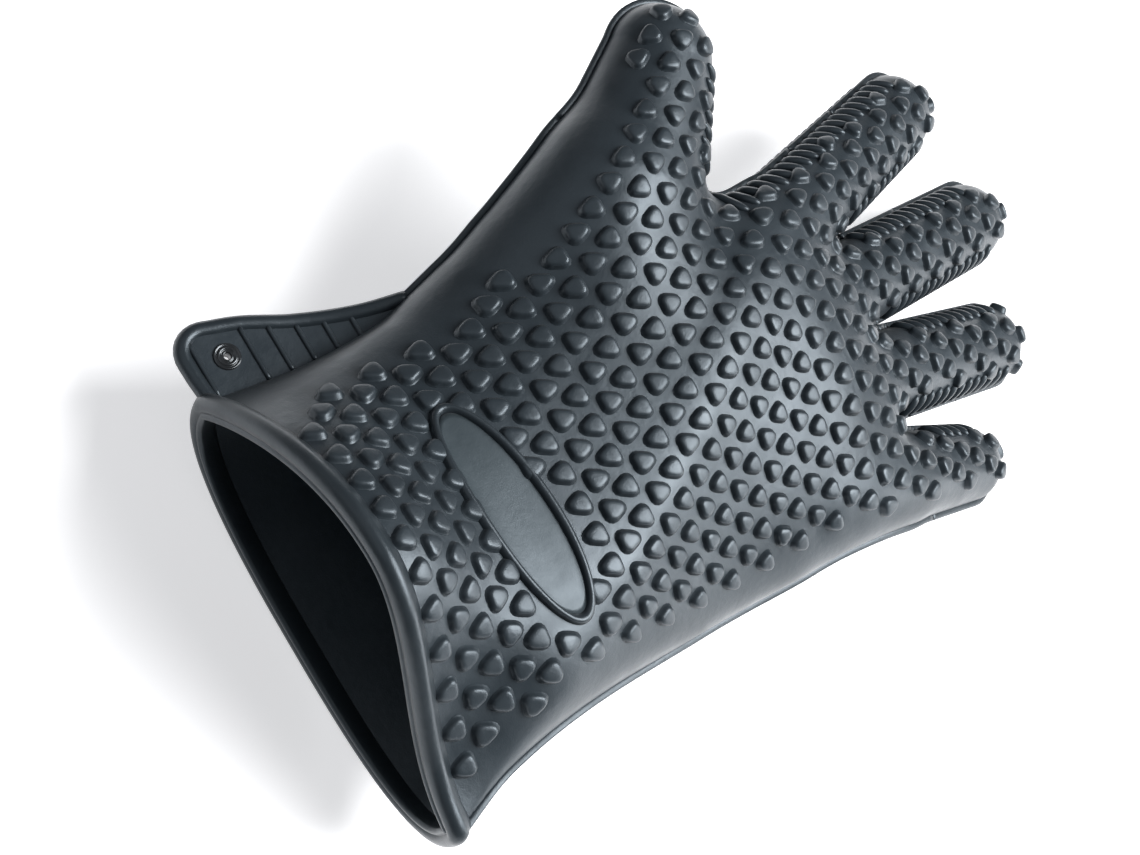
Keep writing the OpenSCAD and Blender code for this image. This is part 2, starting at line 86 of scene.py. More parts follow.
# name: root on the seam plane, spread, root radius, tip radius, length, root and tip half heights
FINGERS = {
    "index": ((KNUCKLE_X, 44.0), 9.2, 13.6, 12.8, 61.5, 13.6, 12.8),
    "middle": ((KNUCKLE_X, 16.6), -2.7, 13.0, 12.4, 75.5, 13.0, 12.4),
    "ring": ((KNUCKLE_X, -10.8), -11.4, 13.0, 12.0, 60.4, 13.0, 12.0),
    "little": ((KNUCKLE_X, -42.3), -16.5, 13.0, 11.2, 26.0, 13.0, 11.2),
    "thumb": ((134.0, 74.9), 46.0, 22.3, 15.8, 33.0, 20.0, 14.4),
}
# The heel of the thumb, which fills the outline between the cuff and the thumb
SHAPES = {**FINGERS, "heel": ((73.7, 53.1), 24.4, 17.0, 16.2, 52.0, 13.5, 17.0)}
THUMB_MAX_H = 21.0
# How widely the parts of the flat shape are rounded into each other
FINGER_JOIN, PALM_JOIN, HEEL_JOIN, THUMB_JOIN, WEB_ROUND = 2.2, 5.0, 6.0, 12.0, 6.0
# How far each of them reaches back into the palm
REACH = {"index": 36, "middle": 38, "ring": 38, "little": 42, "thumb": 30, "heel": 6}
# Bends of each finger: bodies joined, and where the skin starts and ends to bend along the finger
BENDS = {
    "index": [("hand", "index_base", 8, 34), ("index_base", "index_end", 36, 60)],
    "middle": [("hand", "middle_base", 12, 40), ("middle_base", "middle_end", 44, 72)],
    "ring": [("hand", "ring_base", 12, 36), ("ring_base", "ring_end", 37, 60)],
    "little": [("hand", "little_end", 3, 24)],
    "thumb": [("hand", "thumb_end", 5, 29)],
}
# CAD nodes that each bend's skin stands for
ZONE_NODES = {
    "index": [("index_sleeve", "index_middle"), ("index_tip_sleeve", "index_tip")],
    "middle": [("middle_sleeve", "middle_middle"), ("middle_tip_sleeve", "middle_tip")],
    "ring": [("ring_sleeve", "ring_middle"), ("ring_tip_sleeve", "ring_tip")],
    "little": [("little_sleeve", "little_tip")],
    "thumb": [("thumb_sleeve", "thumb_tip")],
}

# Grip nubs: columns across the hand, every other one shifted half a pitch and turned round
NUB_FIRST_X, NUB_COLUMN, NUB_PITCH, NUB_MIDDLE_Y = 8.9, 7.1, 8.9, -1.3
# Rows and columns of the lattice, enough to pass the outline on every side
NUB_ROWS, NUB_COLUMNS = range(-16, 28), 52
# Beyond the back's ridge the columns stand closer: by DENSE_RATE up to x = DENSE_TO, then by END_RATE
DENSE_TO, DENSE_EASE, DENSE_RATE, END_RATE = 168.0, 14.0, 0.88, 0.9
# One nub: its radius at x, its height, how it is scaled along and across the hand, how its length
# follows the closer columns, and how its outline is made three-cornered and pointed
NUB_SIZE = [[0, 3.25], [55, 3.25], [110, 2.95], [250, 2.85]]
NUB_HEIGHT, NUB_STRETCH, NUB_WIDTH, NUB_FOLLOW = 1.85, 1.06, 0.97, 1.1
NUB_CORNERS, NUB_POINT, NUB_SPOKES = 0.12, 0.06, 20
# A nub in section, from its middle outwards: (share of the radius, share of the height)
NUB_PROFILE = [
    (0.0, 1.0), (0.4, 0.99), (0.66, 0.95), (0.8, 0.84), (0.91, 0.6), (0.99, 0.26), (1.07, 0.06), (1.2, -0.08),
]
# Least distances of a nub from the outline: anywhere, at the fingertips, and as [place, value] tables
# along x on the little finger's edge and along the thumb on its outer side
NUB_MARGIN, TIP_MARGIN = 2.9, 1.3
LITTLE_MARGIN = [[0, 9.0], [150, 9.0], [185, 6.5], [205, 4.2]]
THUMB_MARGIN = [[-90, 12.0], [-37, 12.5], [-22, 13.0], [-6, 11.0], [12, 8.0], [30, 4.6]]

# Side ribs: finger, side (1 is its left), first and last place along the finger
RIB_RUNS = [
    ("index", 1, -34, 58), ("index", -1, 12, 58), ("middle", 1, 12, 72), ("middle", -1, 14, 72),
    ("ring", 1, 14, 58), ("ring", -1, 4, 58), ("little", 1, 5, 26), ("thumb", -1, 6, 32),
]
# Their spacing, half width, height and lean towards the fingertip, and where they start and end round
# the finger, in degrees from the seam plane
RIB_PITCH, RIB_HALF_WIDTH, RIB_HEIGHT, RIB_LEAN = 4.3, 1.35, 1.5, 1.6
RIB_FROM, RIB_TO = 7.0, 47.0
# How a rib's section swells and thins out from its start to its end
RIB_SWELL = [0.35, 0.8, 1, 1, 1, 1, 0.95, 0.8, 0.4]
RIB_RAY = 30.0

BADGE_X, BADGE_Y, BADGE_LONG, BADGE_SHORT, BADGE_TILT = 48.5, 3.3, 32.0, 10.0, 5.4
EYELET_X, EYELET_Y, EYELET_SEAT_R = 12.5, 77.0, 2.6
# The hanging tab: thickness, middle and radius of its corner, where the corner ends, its free edge
TAB_T = 2.2
TAB_CORNER, TAB_CORNER_TO = (8.5, 80.6, 6.4), 9.8
TAB_EDGE = [[9, 87], [20, 84], [33, 78.4], [50, 72.4], [64, 69.3]]
TAB_RIBS = (5.0, 19.5, 26.5, 33.5, 40.5, 47.5)
TAB_END_X = 62.0
# Half width and half thickness of the bead along its edge, and half width and height of its ribs
TAB_BEAD, TAB_RIB = (2.3, 2.35), (0.75, 0.85)

# ---------------------------------------------------------------- curves and the flat shape


def curve(x, table):
    """A smooth curve through [x, value] pairs, flat beyond its ends."""
    t = np.array(table, float)
    slopes = np.empty(len(t))
    slopes[1:-1] = (t[2:, 1] - t[:-2, 1]) / (t[2:, 0] - t[:-2, 0])
    slopes[0] = (t[1, 1] - t[0, 1]) / (t[1, 0] - t[0, 0])
    slopes[-1] = (t[-1, 1] - t[-2, 1]) / (t[-1, 0] - t[-2, 0])
    x = np.clip(x, t[0, 0], t[-1, 0])
    i = np.clip(np.searchsorted(t[:, 0], x, side="right") - 1, 0, len(t) - 2)
    d = t[i + 1, 0] - t[i, 0]
    u = (x - t[i, 0]) / d
    return (
        t[i, 1] * (1 + 2 * u) * (1 - u) ** 2
        + t[i + 1, 1] * u * u * (3 - 2 * u)
        + d * u * (1 - u) * ((1 - u) * slopes[i] - u * slopes[i + 1])
    )


def join(a, b, k):
    """The union of two fields, rounded where they meet."""
    near = np.clip(k - np.abs(a - b), 0, None) / k
    return np.minimum(a, b) - near * near * k / 4


def trim(a, b, k):
    """The part of a that b keeps, rounded at the edge."""
    return -join(-a, -b, k)


def axis_of(name):
    """A finger's root, direction and left-hand side on the seam plane."""
    root, spread = SHAPES[name][:2]
    a = math.radians(spread)
    return np.array(root), np.array([math.cos(a), math.sin(a)]), np.array([-math.sin(a), math.cos(a)])


def along(name, p):
    """How far points lie along a finger and to its left."""
    root, direction, left = axis_of(name)
    d = p[..., :2] - root
    return d @ direction, d @ left


def finger_field(name, p):
    """Rough distance from points to a finger: a tapered round-ended tube."""
    _, _, r0, r1, length, h0, h1 = SHAPES[name]
    s, side = along(name, p)
    reach = -REACH[name]
    t = np.clip(s, reach, length)
    share = t / length
    r = r0 + (r1 - r0) * share
    h = h0 + (h1 - h0) * share
    if name == "thumb":
        h = np.minimum(h, THUMB_MAX_H)
    scaled = p[..., 2] * r / h
    return (np.sqrt((s - t) ** 2 + side**2 + scaled**2) - r) * np.sqrt(np.minimum(1, h / r))


def opening(x, y, h, hi, lo):
    """What h is multiplied by where the arm holds the back of the cuff open."""
    share = OPEN_SHARE * (1 - ease(x / OPEN_REACH)) * (h > 0)
    v = np.clip(np.abs(y - (hi + lo) / 2) / ((hi - lo) / 2), 0, 1)
    plain = curve(x, BACK_H) * (1 - v**BACK_ROUND) ** (1 / BACK_ROUND)
    thumb = y > PEAK_Y
    w = np.where(thumb, (y - PEAK_Y) / (hi - PEAK_Y), (PEAK_Y - y) / (PEAK_Y - lo))
    tent = OPEN_H * np.clip(1 - w * w, 0, 1) ** np.where(thumb, THUMB_FALL, LITTLE_FALL)
    return 1 / (1 - share + share * np.where(plain > 0.5, tent / np.maximum(plain, 0.5), 0))


def ease(t):
    """A smooth step from 0 to 1."""
    t = np.clip(t, 0, 1)
    return t * t * (3 - 2 * t)


def palm_field(p):
    """Rough distance from points to the palm and cuff, without fingers."""
    x, y, h = p[..., 0], p[..., 1], p[..., 2]
    hi, lo = curve(x, THUMB_SIDE), curve(x, LITTLE_SIDE)
    half = (hi - lo) / 2
    back = h > 0
    h = h * opening(x, y, h, hi, lo)
    off_ridge = np.sqrt((x - RIDGE_X - RIDGE_SLOPE * y) ** 2 + RIDGE_CREST**2) - RIDGE_CREST
    ridge = RIDGE_H * np.clip(1 - off_ridge / RIDGE_SPREAD, 0, 1) ** 2
    height = np.where(back, curve(x, BACK_H) + ridge, curve(x, PALM_H))
    power = np.where(back, BACK_ROUND, PALM_ROUND)
    v = np.abs(y - (hi + lo) / 2) / half + 1e-6
    w = np.abs(h) / height + 1e-6
    total = v**power + w**power
    g = total ** (1 / power) - 1
    rate = total ** (1 / power - 1)
    slope = rate * np.hypot(v ** (power - 1) / half, w ** (power - 1) / height)
    body = g / np.maximum(slope, 1e-4)
    return trim(body, x - curve(y, WEB_END), WEB_ROUND)


def field(p):
    """Rough distance from points to the whole glove, negative inside."""
    hands = None
    for name in ("index", "middle", "ring", "little"):
        f = finger_field(name, p)
        hands = f if hands is None else join(hands, f, FINGER_JOIN)
    palm = join(palm_field(p), finger_field("heel", p), HEEL_JOIN)
    return join(join(palm, hands, PALM_JOIN), finger_field("thumb", p), THUMB_JOIN)


def slope_of(p, step=0.05):
    """The field's gradient at points."""
    g = np.empty(p.shape)
    for k in range(3):
        d = np.zeros(3)
        d[k] = step
        g[..., k] = (field(p + d) - field(p - d)) / (2 * step)
    return g


def unit(v):
    """Vectors scaled to length 1."""
    return v / np.maximum(np.linalg.norm(v, axis=-1, keepdims=True), 1e-9)


def onto_skin(p, rounds=3):
    """Points moved onto the skin along the field's slope."""
    for _ in range(rounds):
        g = slope_of(p)
        p = p - g * (field(p) / np.maximum((g * g).sum(-1), 1e-6))[..., None]
    return p


def skin_on_ray(base, ray, top, rounds=22):
    """How far along rays from points inside the skin lies, found by halving: from below and above."""
    lo, hi = np.zeros(len(base)), np.full(len(base), top)
    for _ in range(rounds):
        mid = (lo + hi) / 2
        inside = field(base + ray * mid[:, None]) < 0
        lo, hi = np.where(inside, mid, lo), np.where(inside, hi, mid)
    return lo, hi


def surface_height(x, y, side=1.0):
    """Height of the skin over the seam plane at x, y; 0 beyond the outline."""
    lo, hi = skin_on_ray(np.stack([x, y, np.zeros(len(x))], -1), np.array([0.0, 0.0, side]), 50.0)
    return side * (lo + hi) / 2


# ---------------------------------------------------------------- from the flat frame to the row frame


def place(p, thumb=False):
    """Points in the flat frame, in mm, moved to the row frame, in metres. The thumb doesn't droop."""
    p = np.asarray(p, float)
    x, y, h = p[..., 0], p[..., 1], p[..., 2]
    x = x + RIM_LEAN * (1 - ease(x / OPEN_REACH)) * np.clip(h, 0, None)
    bend = math.radians(DROOP)
    radius = (BEND_TO - BEND_FROM) / bend
    a = np.zeros(x.shape) if thumb else bend * np.clip((x - BEND_FROM) / (BEND_TO - BEND_FROM), 0, 1)
    past = np.zeros(x.shape) if thumb else np.clip(x - BEND_TO, 0, None)
    start = x if thumb else np.minimum(x, BEND_FROM)
    bx = start + radius * np.sin(a) + past * np.cos(a) + h * np.sin(a)
    bz = -radius * (1 - np.cos(a)) - past * np.sin(a) + h * np.cos(a)
    turn = math.radians(ROLL) * ease((x - TURN_FROM) / (TURN_TO - TURN_FROM))
    ty = y * np.cos(turn) - bz * np.sin(turn)
    tz = y * np.sin(turn) + bz * np.cos(turn)
    c, s = math.cos(math.radians(PITCH)), math.sin(math.radians(PITCH))
    out = np.stack([bx * c - tz * s, ty, bx * s + tz * c], -1)
    return (out - MIDDLE_OF_BOX) / 1000


# ---------------------------------------------------------------- meshes


def make_object(name, points, faces, body, slot, smooth=True, thumb=False):
    """A mesh object from flat points, placed in the row frame, riding on a body."""
    mesh = bpy.data.meshes.new(name)
    mesh.from_pydata(place(points, thumb).tolist(), [], faces)
    mesh.validate()
    mesh.polygons.foreach_set("use_smooth", [smooth] * len(mesh.polygons))
    mesh.update()
    obj = bpy.data.objects.new(name, mesh)
    bpy.context.scene.collection.objects.link(obj)
    obj.data.materials.append(MATERIALS[slot])
    if body:
        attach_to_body(obj, body)
    return obj


def field_normals(obj, points, normals, faces, outer, thumb):
    """Gives the outer faces of a thickened skin the normals of the smooth skin."""
    n = len(normals)
    a = unit(np.cross(normals, np.where(np.abs(normals[:, :1]) < 0.7, [[1.0, 0, 0]], [[0, 1.0, 0]])))
    b = np.cross(normals, a)
    step = 0.05
    moved = [place(points[:n] + d * step, thumb) for d in (a, b)]
    here = place(points[:n], thumb)
    world = unit(np.cross(moved[0] - here, moved[1] - here))
    loops = []
    for k, f in enumerate(faces):
        if k < outer:
            loops += [tuple(world[i]) for i in f]
        elif k < 2 * outer:
            loops += [tuple(-world[i - n]) for i in f]
        else:
            loops += [(0.0, 0.0, 0.0)] * len(f)
    obj.data.normals_split_custom_set(loops)


def outward(points, faces):
    """The faces, turned round if the closed mesh they make is inside out."""
    p = np.asarray(points, float)
    volume = 0.0
    for f in faces:
        for k in range(1, len(f) - 1):
            volume += np.dot(p[f[0]], np.cross(p[f[k]], p[f[k + 1]]))
    return faces if volume > 0 else [tuple(reversed(f)) for f in faces]


def loft(rings, closed_path=False):
    """Points and faces of a solid through rings of equal length."""
    rings = np.asarray(rings, float)
    m, n = rings.shape[:2]
    points = rings.reshape(-1, 3)
    faces = []
    for k in range(m if closed_path else m - 1):
        a, b = n * k, n * ((k + 1) % m)
        for i in range(n):
            j = (i + 1) % n
            faces.append((a + i, a + j, b + j, b + i))
    if not closed_path:
        faces.append(tuple(range(n - 1, -1, -1)))
        faces.append(tuple(n * (m - 1) + i for i in range(n)))
    return points, outward(points, faces)


def merge(solids):
    """Points and faces of several solids as one mesh."""
    points, faces = [], []
    start = 0
    for pts, fcs in solids:
        points.append(pts)
        faces += [tuple(i + start for i in f) for f in fcs]
        start += len(pts)
    return np.concatenate(points), faces


def mould_skin(step=1.7):
    """The outer skin as one bmesh of quads in the flat frame, cut open at the cuff."""
    # A grid over the whole glove, in mm; one point of the skin lies in every cell that it crosses
    lo, hi = np.array([-4.0, -72.0, -38.0]), np.array([284.0, 122.0, 49.0])
    counts = np.ceil((hi - lo) / step).astype(int)
    axes = [lo[k] + step * np.arange(counts[k]) for k in range(3)]
    grid = np.stack(np.meshgrid(*axes, indexing="ij"), -1)
    values = np.stack([field(slab) for slab in grid])
    inside = values < 0
    total = np.zeros(tuple(counts - 1) + (3,))
    crossings = np.zeros(tuple(counts - 1))
    spans = [slice(None, -1), slice(1, None)]
    for k in range(3):
        a = [slice(None)] * 3
        b = [slice(None)] * 3
        a[k], b[k] = spans
        va, vb = values[tuple(a)], values[tuple(b)]
        change = inside[tuple(a)] != inside[tuple(b)]
        t = np.where(change, va / np.where(change, va - vb, 1), 0)
        spot = grid[tuple(a)] + t[..., None] * (grid[tuple(b)] - grid[tuple(a)])
        others = [j for j in range(3) if j != k]
        for u in spans:
            for w in spans:
                cut = [slice(None)] * 3
                cut[others[0]], cut[others[1]] = u, w
                total += np.where(change[tuple(cut)][..., None], spot[tuple(cut)], 0)
                crossings += change[tuple(cut)]
    used = crossings > 0
    number = np.full(used.shape, -1)
    number[used] = np.arange(used.sum())
    points = total[used] / crossings[used][:, None]
    quads = []
    for k in range(3):
        a = [slice(1, -1)] * 3
        b = [slice(1, -1)] * 3
        a[k], b[k] = spans
        first, second = inside[tuple(a)], inside[tuple(b)]
        where = np.argwhere(first != second)
        flips = first[first != second]
        others = [j for j in range(3) if j != k]
        corners = []
        for du, dw in ((0, 0), (1, 0), (1, 1), (0, 1)):
            cell = where.copy()
            cell[:, others[0]] += du
            cell[:, others[1]] += dw
            corners.append(number[cell[:, 0], cell[:, 1], cell[:, 2]])
        q = np.stack(corners, 1)
        turn = flips if k != 1 else ~flips
        q[~turn] = q[~turn][:, ::-1]
        quads.append(q)
    quads = np.concatenate(quads)
    points = relax(onto_skin(points), quads)
    bm = bmesh.new()
    verts = [bm.verts.new(p) for p in points]
    for q in quads:
        bm.faces.new([verts[i] for i in q])
    whole = list(bm.verts) + list(bm.edges) + list(bm.faces)
    bmesh.ops.bisect_plane(bm, geom=whole, plane_co=(CUFF_X, 0, 0), plane_no=(1, 0, 0), clear_inner=True)
    return bm


def relax(points, quads, rounds=4):
    """Evens out a quad mesh that lies on the skin."""
    pairs = np.concatenate([quads[:, [i, (i + 1) % 4]] for i in range(4)])
    pairs = np.unique(np.sort(pairs, 1), axis=0)
    count = np.bincount(pairs.ravel(), minlength=len(points))[:, None]
    for _ in range(rounds):
        mean = np.zeros(points.shape)
        for k in range(3):
            mean[:, k] += np.bincount(pairs[:, 0], points[pairs[:, 1], k], len(points))
            mean[:, k] += np.bincount(pairs[:, 1], points[pairs[:, 0], k], len(points))
        points = onto_skin(points + 0.5 * (mean / count - points), 1)
    return points


def cut_faces(bm, plane_co, plane_no, near):
    """Cuts the faces that near() accepts along a plane."""
    faces = [f for f in bm.faces if near(f.calc_center_median())]
    geom = set(faces)
    for f in faces:
        geom.update(f.edges)
        geom.update(f.verts)
    bmesh.ops.bisect_plane(bm, geom=list(geom), dist=1e-4, plane_co=plane_co, plane_no=plane_no)


def zone_cuts(name):
    """Where along a finger its pieces start."""
    bends = BENDS[name]
    starts = [bends[0][2]]
    if len(bends) > 1:
        starts.append((bends[0][3] + bends[1][2]) / 2)
    return starts


def zones_of(points):
    """The zone that each flat point lies in: 0 is the hand, others index ZONES."""
    zone = np.zeros(len(points), int)
    best = np.full(len(points), np.inf)
    for number, (name, _, start, end) in enumerate(ZONES, 1):
        s, side = along(name, points)
        _, _, r0, r1, length = FINGERS[name][:5]
        r = r0 + (r1 - r0) * np.clip(s / length, 0, 1)
        miss = np.abs(side) - r
        hit = (s >= start) & (s < end) & (miss < 7) & (miss < best)
        zone[hit] = number
        best[hit] = miss[hit]
    return zone


# Every zone of the fingers: finger, number of its bend, where it starts and ends along the finger
ZONES = []
for finger in BENDS:
    starts = zone_cuts(finger)
    for number, start in enumerate(starts):
        end = starts[number + 1] if number + 1 < len(starts) else 1000.0
        ZONES.append((finger, number, start, end))


def zone_name(zone):
    """What the pieces of a finger zone are called."""
    name, k, _, _ = ZONES[zone - 1]
    return f"{name}_{'tip' if k == len(BENDS[name]) - 1 else 'base'}"


def attach(obj, zone):
    """Makes a piece ride on the hand; a piece of a finger zone only has its placing baked into its mesh."""
    if zone == 0:
        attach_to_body(obj, "hand")
        return
    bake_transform(obj)


def zone_is_thumb(zone):
    return zone > 0 and ZONES[zone - 1][0] == "thumb"


def thicken(points, normals, faces, wall):
    """Closes an open skin with an inner face and rims."""
    n = len(points)
    edges = dict.fromkeys((f[i], f[(i + 1) % len(f)]) for f in faces for i in range(len(f)))
    rim = [(a, b) for a, b in edges if (b, a) not in edges]
    inner = [tuple(i + n for i in reversed(f)) for f in faces]
    sides = [(b, a, a + n, b + n) for a, b in rim]
    return np.concatenate([points, points - normals * wall]), list(faces) + inner + sides


def skin_pieces():
    """The skin of the hand's back and palm and of each finger zone, and the seam line of each."""
    bm = mould_skin()
    for name, _, start, _ in ZONES:
        root, direction, _ = axis_of(name)
        co = root + direction * start
        r = FINGERS[name][2]

        def near(c, name=name, start=start, r=r):
            s, side = along(name, np.array(c)[None, :])
            return abs(s[0] - start) < 4 and abs(side[0]) < r + 4

        cut_faces(bm, (co[0], co[1], 0), (direction[0], direction[1], 0), near)
    cut_faces(bm, (0, 0, 0), (0, 0, 1), lambda c: abs(c[2]) < 5)
    bm.verts.index_update()
    points = np.array([v.co for v in bm.verts])
    faces = [tuple(v.index for v in f.verts) for f in bm.faces]
    centres = np.array([f.calc_center_median() for f in bm.faces])
    seam = [
        (e.verts[0].index, e.verts[1].index)
        for e in bm.edges
        if abs(e.verts[0].co.z) < 1e-3 and abs(e.verts[1].co.z) < 1e-3
    ]
    bm.free()
    zone = zones_of(centres)
    normals = unit(slope_of(points))
    for number in range(len(ZONES) + 1):
        halves = ((1, "back"), (-1, "palm")) if number == 0 else ((0, ""),)
        for side, half in halves:
            chosen = [
                f for f, z, c in zip(faces, zone, centres) if z == number and (side == 0 or c[2] * side > 0)
            ]
            used = sorted({i for f in chosen for i in f})
            index = {v: i for i, v in enumerate(used)}
            local = [tuple(index[i] for i in f) for f in chosen]
            pts, fcs = thicken(points[used], normals[used], local, WALL)
            name = f"hand_{half}_skin" if number == 0 else f"{zone_name(number)}_skin"
            obj = make_object(name, pts, fcs, None, "silicone", thumb=zone_is_thumb(number))
            field_normals(obj, pts, normals[used], fcs, len(local), zone_is_thumb(number))
            attach(obj, number)
            if number == 0:
                roots = ("thumb_root", "index_root", "middle_root", "ring_root", "little_root")
                nodes = ("back_shell", "knuckle_back") + roots if side > 0 else ("palm_shell", "knuckle_palm")
                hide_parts(*nodes)
            else:
                finger, k = ZONES[number - 1][:2]
                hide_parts(*ZONE_NODES[finger][k])
    mids = np.array([(points[a] + points[b]) / 2 for a, b in seam])
    return points, seam, zones_of(mids)


def chains(edges):
    """Edges joined end to end into lists of point numbers."""
    links = {}
    for a, b in edges:
        links.setdefault(a, []).append(b)
        links.setdefault(b, []).append(a)
    left = {frozenset(e) for e in edges}
    ends = sorted(v for v in links if len(links[v]) == 1)
    found = []
    for start in ends + sorted(links):
        here = start
        path = [here]
        while True:
            nxt = [v for v in links[here] if frozenset((here, v)) in left]
            if not nxt:
                break
            left.discard(frozenset((here, nxt[0])))
            here = nxt[0]
            path.append(here)
        if len(path) > 2:
            found.append(path)
    return found


def resample(path, step):
    """A polyline's points evenly spaced, its ends kept."""
    d = np.r_[0, np.cumsum(np.linalg.norm(np.diff(path, axis=0), axis=1))]
    n = max(2, int(round(d[-1] / step)) + 1)
    t = np.linspace(0, d[-1], n)
    return np.stack([np.interp(t, d, path[:, k]) for k in range(path.shape[1])], 1)


# The fin in section: (distance out of the skin, height off the seam plane)
FIN_PROFILE = [
    (-0.7, -0.85), (0.5, -0.8), (1.25, -0.72), (1.6, -0.52), (1.66, -0.28), (1.42, 0.0),
    (1.66, 0.28), (1.6, 0.52), (1.25, 0.72), (0.5, 0.8), (-0.7, 0.85),
]


def seam_fins(points, seam, zone):
    """The parting fin along the outline of every zone."""
    for number in range(len(ZONES) + 1):
        edges = [e for e, z in zip(seam, zone) if z == number]
        if number == 0:
            edges = [e for e in edges if not (points[e[0]][0] < TAB_END_X and points[e[0]][1] > 0)]
        fins = []
        for path in chains(edges):
            line = points[path]
            line[:, 2] = 0
            line = resample(line, 1.6)
            if len(line) < 3:
                continue
            g = slope_of(line)
            g[:, 2] = 0
            out = unit(g)
            for _ in range(2):
                out[1:-1] = unit(out[:-2] + 2 * out[1:-1] + out[2:])
            rings = [
                [[q[0] + o[0] * a, q[1] + o[1] * a, h] for a, h in FIN_PROFILE] for q, o in zip(line, out)
            ]
            fins.append(loft(rings))
        name = "hand_fin" if number == 0 else f"{zone_name(number)}_fin"
        obj = make_object(name, *merge(fins), None, "silicone_edge", thumb=zone_is_thumb(number))
        attach(obj, number)
        if number == 0:
            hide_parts("fin_thumb_side", "fin_index_side", "fin_little_side")


# ---------------------------------------------------------------- grip nubs and side ribs


def badge_share(x, y):
    """How far out a flat point lies in the badge's oval: 1 is its rim."""
    a = math.radians(BADGE_TILT)
    dx, dy = x - BADGE_X, y - BADGE_Y
    u = dx * math.cos(a) + dy * math.sin(a)
    v = -dx * math.sin(a) + dy * math.cos(a)
    return np.hypot(u / BADGE_SHORT, v / BADGE_LONG)


def nub_lattice():
    """Flat places of all nubs, the way each points, and how closely its columns stand."""
    spots = []
    for row in NUB_ROWS:
        y = row * NUB_PITCH / 2 + NUB_MIDDLE_Y
        ridge = RIDGE_X + RIDGE_SLOPE * y
        x = NUB_FIRST_X
        for column in range(NUB_COLUMNS):
            closer = DENSE_RATE + (END_RATE - DENSE_RATE) * ease((x - DENSE_TO) / DENSE_EASE)
            rate = float(1 + (closer - 1) * ease((x - ridge) / DENSE_EASE))
            if (column + row) % 2 == 0:
                spots.append((x, y, 1.0 if column % 2 else -1.0, rate))
            x += NUB_COLUMN * rate
    return np.array(spots)


def nub_margin(x, y):
    """Least distance from the outline at which a nub may stand."""
    p = np.stack([x, y], -1)
    margin = np.full(x.shape, NUB_MARGIN)
    little_edge = y < np.where(x < 150, -20, -44)
    margin = np.where(little_edge, np.interp(x, *zip(*LITTLE_MARGIN)), margin)
    thumb_s, thumb_side = along("thumb", p)
    outer_thumb = (y > 40) & (thumb_side > 0)
    margin = np.where(outer_thumb, np.interp(thumb_s, *zip(*THUMB_MARGIN)), margin)
    for name in FINGERS:
        s, left = along(name, p)
        margin = np.where((s > FINGERS[name][4] + 1) & (np.abs(left) < 16), TIP_MARGIN, margin)
    return margin


def nub_pieces():
    """All grip nubs, as one piece for each side of the hand and each finger zone."""
    spots = nub_lattice()
    flat = np.stack([spots[:, 0], spots[:, 1], np.zeros(len(spots))], -1)
    keep = -field(flat) > nub_margin(spots[:, 0], spots[:, 1])
    keep &= (spots[:, 0] > 9) | (spots[:, 1] < 50)  # none on the cuff's corner beside the tab
    spots, flat = spots[keep], flat[keep]
    zone = zones_of(flat)
    angles = np.linspace(0, 2 * math.pi, NUB_SPOKES, endpoint=False)
    outline = 1 + NUB_CORNERS * np.cos(3 * angles) + NUB_POINT * np.cos(angles)
    rings = len(NUB_PROFILE) - 1
    rho = np.array([0.0] + [q[0] for q in NUB_PROFILE[1:] for _ in range(NUB_SPOKES)])
    lift = np.array([1.0] + [q[1] for q in NUB_PROFILE[1:] for _ in range(NUB_SPOKES)])
    turn = np.concatenate([[0.0], np.tile(angles, rings)])
    shape = np.concatenate([[1.0], np.tile(outline, rings)])
    count = len(rho)
    pattern = []
    for i in range(NUB_SPOKES):
        j = (i + 1) % NUB_SPOKES
        pattern.append((0, 1 + i, 1 + j))
        for r in range(rings - 1):
            a = 1 + r * NUB_SPOKES
            pattern.append((a + i, a + NUB_SPOKES + i, a + NUB_SPOKES + j, a + j))
    pattern.append(tuple(1 + (rings - 1) * NUB_SPOKES + i for i in reversed(range(NUB_SPOKES))))
    for side, half in ((1.0, "back"), (-1.0, "palm")):
        clear = np.ones(len(spots), bool)
        if side > 0:
            clear &= badge_share(spots[:, 0], spots[:, 1]) > 1.08
        for number in range(len(ZONES) + 1):
            picks = np.where(clear & (zone == number))[0]
            if not len(picks):
                continue
            x, y = spots[picks, 0], spots[picks, 1]
            centre = np.stack([x, y, surface_height(x, y, side)], -1)
            out = unit(slope_of(centre))
            ahead = unit(np.array([1.0, 0, 0]) - out * out[:, :1])
            across = np.cross(out, ahead)
            way, rate = spots[picks, 2][:, None], spots[picks, 3][:, None]
            size = curve(x, NUB_SIZE)[:, None]
            dx = rho * shape * np.cos(turn) * size * way * rate**NUB_FOLLOW * NUB_STRETCH
            dy = rho * shape * np.sin(turn) * size * NUB_WIDTH
            base = centre[:, None] + ahead[:, None] * dx[..., None] + across[:, None] * dy[..., None]
            base = onto_skin(base)
            pts = base + unit(slope_of(base)) * (lift * NUB_HEIGHT)[None, :, None]
            faces = []
            for k, points_on in enumerate(spots[picks, 2] > 0):
                for f in pattern:
                    g = tuple(i + k * count for i in f)
                    faces.append(g if points_on else tuple(reversed(g)))
            name = f"hand_{half}_nubs" if number == 0 else f"{zone_name(number)}_{half}_nubs"
            pts = pts.reshape(-1, 3)
            obj = make_object(name, pts, faces, None, "silicone", thumb=zone_is_thumb(number))
            attach(obj, number)


